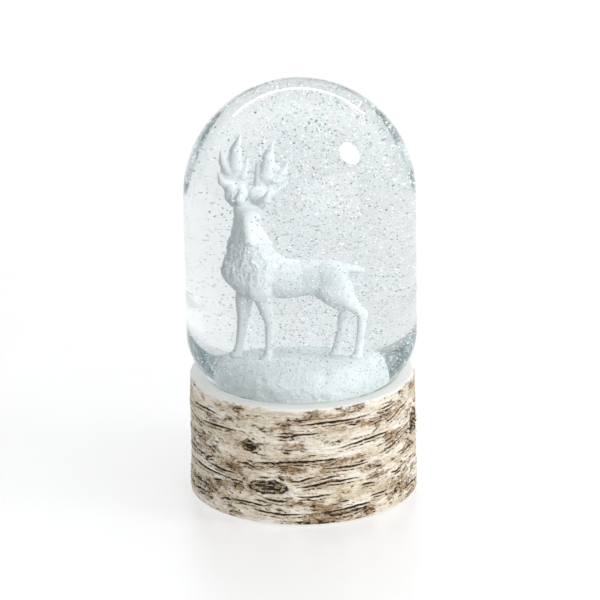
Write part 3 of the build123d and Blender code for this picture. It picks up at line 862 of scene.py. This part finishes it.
# The flakes at rest are whiter: a smaller tint keeps clear of the ramp's dark and coloured end, and gives
# more of them the faint painted highlight.
for tint_value in settled.data.attributes["tint"].data:
    tint_value.value *= 0.72

# ---------------------------------------------------------------------------------------------
# Glass: one blown envelope, 3 mm thick, with its neck bonded down in the collar of the base. Each
# face keeps how much it bends light: fully in air, less against the liquid, not at all in the bond.
neck_radius = 32.0


def globe_outline(inset, floor_z):
    """Outline of the envelope a distance inside its outer face, from the neck to near the axis."""
    bend = shoulder_bend - inset
    neck = neck_radius - inset
    start = math.atan2(-math.sqrt(bend ** 2 - (neck - shoulder_reach) ** 2), neck - shoulder_reach)
    points = [(neck, floor_z)]
    for step in range(25):
        turn = start * (1 - step / 24)
        points.append((shoulder_reach + bend * math.cos(turn), shoulder_z + bend * math.sin(turn)))
    for step in range(1, 7):
        points.append((shoulder_reach + bend, shoulder_z + (dome_z - shoulder_z) * step / 6))
    radius = glass_high[0] / mm - inset
    for step in range(1, 37):
        turn = math.radians(89.6) * step / 36
        points.append((radius * math.cos(turn), dome_z + radius * math.sin(turn)))
    return [(r * mm, z * mm) for r, z in points]


def close_pole(piece):
    """Merge the last small ring at the top of the dome into one point."""
    bpy.ops.object.mode_set(mode="EDIT")
    bpy.ops.mesh.select_all(action="DESELECT")
    bpy.ops.object.mode_set(mode="OBJECT")
    for vertex in piece.data.vertices:
        vertex.select = math.hypot(vertex.co.x, vertex.co.y) < 0.6 * mm and vertex.co.z > dome_centre[2]
    bpy.ops.object.mode_set(mode="EDIT")
    bpy.ops.mesh.select_mode(type="VERT")
    bpy.ops.mesh.merge(type="CENTER")
    bpy.ops.mesh.select_all(action="SELECT")
    bpy.ops.mesh.normals_make_consistent(inside=False)
    bpy.ops.object.mode_set(mode="OBJECT")


globe = turned("glass_globe_blown", globe_outline(0, glass_low[2] / mm), 192)
close_pole(globe)
wall = globe.modifiers.new("wall", "SOLIDIFY")
wall.thickness = 3.0 * mm
wall.offset = -1
wall.use_even_offset = True
wall.material_offset = 1


def clear(name, ior, absorbs, density, lamp_in, face_ior=None):
    """Clear dielectric; lamps light what is inside it, as they do through thin clear walls."""
    material = new_material(name)
    shader = add(material, "ShaderNodeBsdfPrincipled",
                 {"Base Color": (1, 1, 1, 1), "Roughness": 0.0, "IOR": ior, "Transmission Weight": 1.0})
    if face_ior:
        bends = add(material, "ShaderNodeAttribute", {"attribute_name": face_ior})
        material.node_tree.links.new(bends.outputs["Fac"], shader.inputs["IOR"])
    face = add(material, "ShaderNodeNewGeometry")
    passed = add(material, "ShaderNodeMix", {"data_type": "RGBA", 6: (*lamp_in, 1), 7: (1, 1, 1, 1)},
                 {0: face.outputs["Backfacing"]})
    passing = add(material, "ShaderNodeBsdfTransparent", links={"Color": passed.outputs[2]})
    ray = add(material, "ShaderNodeLightPath")
    mix = add(material, "ShaderNodeMixShader",
              links={0: ray.outputs["Is Shadow Ray"], 1: shader.outputs[0], 2: passing.outputs[0]})
    volume = add(material, "ShaderNodeVolumeAbsorption", {"Color": (*absorbs, 1), "Density": density})
    add(material, "ShaderNodeOutputMaterial", links={"Surface": mix.outputs[0], "Volume": volume.outputs[0]})
    return material


globe.data.materials.append(
    clear("blown_soda_glass", 1.52, (0.62, 0.90, 0.87), 12, (0.96, 0.97, 0.97), face_ior="bends"))
globe.data.materials.append(globe.data.materials[0])
bpy.ops.object.modifier_apply(modifier="wall")
layer = globe.data.attributes.new("bends", "FLOAT", "FACE")
for polygon, bends in zip(globe.data.polygons, layer.data):
    bends.value = 1.52
    if polygon.material_index == 1:
        bends.value = 1.135
    elif polygon.center.z < top_z:
        bends.value = 1.0
    polygon.material_index = 0
globe.data.materials.pop(index=1)
bpy.ops.object.shade_smooth_by_angle(angle=math.radians(40))
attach(globe, "root")
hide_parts("glass_globe")

# ---------------------------------------------------------------------------------------------
# Liquid: water with glycol, filled to the top. Its own edge doesn't bend light again, because
# the wet face of the glass has already done so; it only takes a little of the light's colour.
liquid = turned("liquid_fill_clear", globe_outline(3.02, 52.05), 192)
close_pole(liquid)
fill_ends(liquid, 40)
liquid.data.materials.append(clear("water_and_glycol", 1.0, (0.735, 0.755, 0.765), 10, (0.25, 0.27, 0.27)))
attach(liquid, "root")
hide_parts("liquid_fill")

# ---------------------------------------------------------------------------------------------
# Felt pad: a disc of pressed white felt, glued under the cover so that the globe stands on it.
# Its cut edge is a little fuzzy and uneven.
pad_low, pad_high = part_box("felt_pad")
pad_radius = pad_high[0]
pad_edge = 0.25 * mm
pad_rows = [(share * (pad_radius - pad_edge), pad_low[2]) for share in (0.01, 0.25, 0.5, 0.75, 0.9, 1.0)]
pad_rows += [(pad_radius, pad_low[2] + pad_edge), (pad_radius, pad_high[2] - pad_edge)]
pad_rows += [(share * (pad_radius - pad_edge), pad_high[2]) for share in (1.0, 0.9, 0.75, 0.5, 0.25, 0.01)]
pad = turned("felt_pad_pressed", pad_rows, 288)
fill_ends(pad, 50)
points = read_points(pad)
rim_share = smooth(0.97, 1.0, np.hypot(points[:, 0], points[:, 1]) / (pad_radius / mm))
fuzz = noise_at(points, (1.6, 1.6, 1.6), 3) * rim_share * 0.06
points[:, :2] *= 1 + fuzz[:, None] * mm / pad_radius
write_points(pad, points)

felt = new_material("wool_felt_pressed")
place = add(felt, "ShaderNodeTexCoord")
fibres = add(felt, "ShaderNodeTexNoise", {"Scale": 1800, "Detail": 6, "Roughness": 0.75, "Distortion": 2.0},
             {"Vector": place.outputs["Object"]})
clumps = add(felt, "ShaderNodeTexNoise", {"Scale": 160, "Detail": 3}, {"Vector": place.outputs["Object"]})
felt_mix = multiply(felt, fibres.outputs[0], clumps.outputs[0])
felt_tone = ramp(felt, felt_mix.outputs[0], [(0.12, "#D2CEC2"), (0.22, "#E1DED4"), (0.38, "#EEECE5")])
felt_bump = add(felt, "ShaderNodeBump", {"Strength": 0.6, "Distance": 0.0002}, {"Height": fibres.outputs[0]})
felt_shader = add(felt, "ShaderNodeBsdfPrincipled",
                  {"Roughness": 0.95, "Sheen Weight": 0.4, "Sheen Roughness": 0.5},
                  {"Base Color": felt_tone.outputs[0], "Normal": felt_bump.outputs[0]})
add(felt, "ShaderNodeOutputMaterial", links={"Surface": felt_shader.outputs[0]})
pad.data.materials.append(felt)
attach(pad, "root")
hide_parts("felt_pad")

# ---------------------------------------------------------------------------------------------
# Hidden pieces: the moulded stopper and its plug, the two beads of sealing compound, the pressed
# board cover and the wire pins keep their CAD shapes and take the finish of their real materials.


def finish_nodes(nodes, name, scales, tones, roughness, metallic, depth):
    """One grained material for some CAD nodes: noise scales per metre, two tones, relief in metres."""
    material = new_material(name)
    place = add(material, "ShaderNodeTexCoord")
    stretch = add(material, "ShaderNodeMapping", {"Scale": scales}, {"Vector": place.outputs["Object"]})
    grain = add(material, "ShaderNodeTexNoise", {"Scale": 1, "Detail": 6, "Roughness": 0.65},
                {"Vector": stretch.outputs[0]})
    tone = ramp(material, grain.outputs[0], [(0.30, tones[0]), (0.50, tones[1]), (0.70, tones[2])])
    wear = add(material, "ShaderNodeMapRange", {"To Min": roughness - 0.12, "To Max": roughness + 0.12},
               {"Value": grain.outputs[0]})
    relief = add(material, "ShaderNodeBump", {"Strength": 0.5, "Distance": depth},
                 {"Height": grain.outputs[0]})
    shader = add(material, "ShaderNodeBsdfPrincipled", {"Metallic": metallic},
                 {"Base Color": tone.outputs[0], "Roughness": wear.outputs[0], "Normal": relief.outputs[0]})
    add(material, "ShaderNodeOutputMaterial", links={"Surface": shader.outputs[0]})
    for node in nodes:
        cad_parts[node].data.materials[0] = material


finish_nodes(["rubber_stopper", "fill_plug"], "moulded_rubber_matt", (900, 900, 900),
             ("#D2D8D6", "#DCE2DF", "#E6EAE7"), 0.60, 0.0, 0.00006)
finish_nodes(["stopper_sealant", "neck_adhesive"], "sealing_compound_cured", (260, 260, 260),
             ("#DAD9D2", "#E6E5DF", "#F0EFEA"), 0.35, 0.0, 0.00015)
finish_nodes(["bottom_cover"], "hardboard_pressed", (1400, 300, 900),
             ("#5C4229", "#745639", "#8C6C4A"), 0.65, 0.0, 0.00008)
finish_nodes(["leg_pins"], "steel_wire_drawn", (4000, 4000, 200),
             ("#A9A9AC", "#B8B8BB", "#C9C9CC"), 0.28, 1.0, 0.00002)
